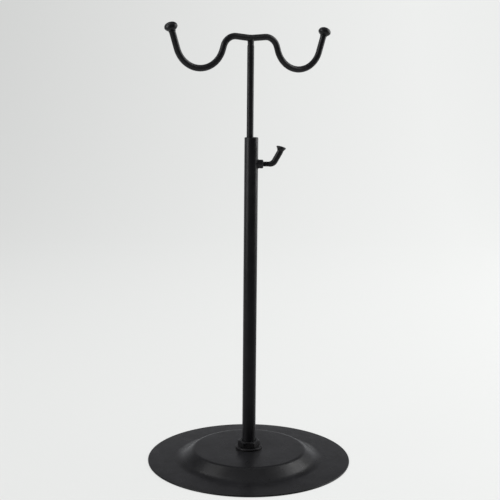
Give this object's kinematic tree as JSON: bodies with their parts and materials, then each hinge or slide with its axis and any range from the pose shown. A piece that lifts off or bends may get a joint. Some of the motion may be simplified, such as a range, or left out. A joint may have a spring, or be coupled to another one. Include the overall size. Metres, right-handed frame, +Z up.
{
  "type": "double-hook display stand",
  "caption": "Free-standing display stand: round pressed base, tube post, clamped sliding rod and a W-shaped wire hook with knobbed ends, height set by a hook-shaped clamp screw.",
  "frame": {"origin": "centre of the base on the surface that the stand stands on, on the axis of the post", "axes": "+Z up along the post, the W-shaped hook in the XZ plane at rest, clamp screw pointing to +X, turned 30 degrees towards -Y"},
  "size_m": [0.2, 0.2, 0.4238],
  "materials": {
    "base_coat": "satin powder coat",
    "black_coat": "satin powder coat",
    "black_steel": "blackened",
    "zinc_steel": "zinc plated"
  },
  "bodies": {
    "stand": {"base_plate": "base_coat", "post_tube": "black_coat", "upper_washer": "black_steel", "upper_nut": "black_steel", "lower_washer": "zinc_steel", "lower_nut": "zinc_steel", "clamp_nut": "black_coat"},
    "rod": {"slide_rod": "black_coat"},
    "hook_head": {"double_hook": "black_coat", "left_knob": "black_coat", "right_knob": "black_coat"},
    "screw": {"clamp_screw": "black_steel"},
    "screw_arm": {"clamp_arm": "black_coat", "clamp_arm_tip": "black_coat"}
  },
  "joints": [
    {"name": "rod_slide", "type": "slide", "parent": "stand", "child": "rod", "axis": [0, 0, 1], "range_m": [-0.065, 0.13]},
    {"name": "head_swivel", "type": "hinge", "parent": "rod", "child": "hook_head", "pos_m": [-0.00117, 0.00068, 0.408], "axis": [0, 0, 1], "continuous": true},
    {"name": "screw_travel", "type": "slide", "parent": "stand", "child": "screw", "axis": [0.866, -0.5, 0], "range_m": [0, 0.0024]},
    {"name": "screw_turn", "type": "hinge", "parent": "screw", "child": "screw_arm", "pos_m": [0.01299, -0.0075, 0.2938], "axis": [0.866, -0.5, 0], "range_deg": [0, 1080]}
  ],
  "couplings": [
    {"joint": "screw_travel", "follows": "screw_turn", "m_per_rad": 0.00012732}
  ]
}
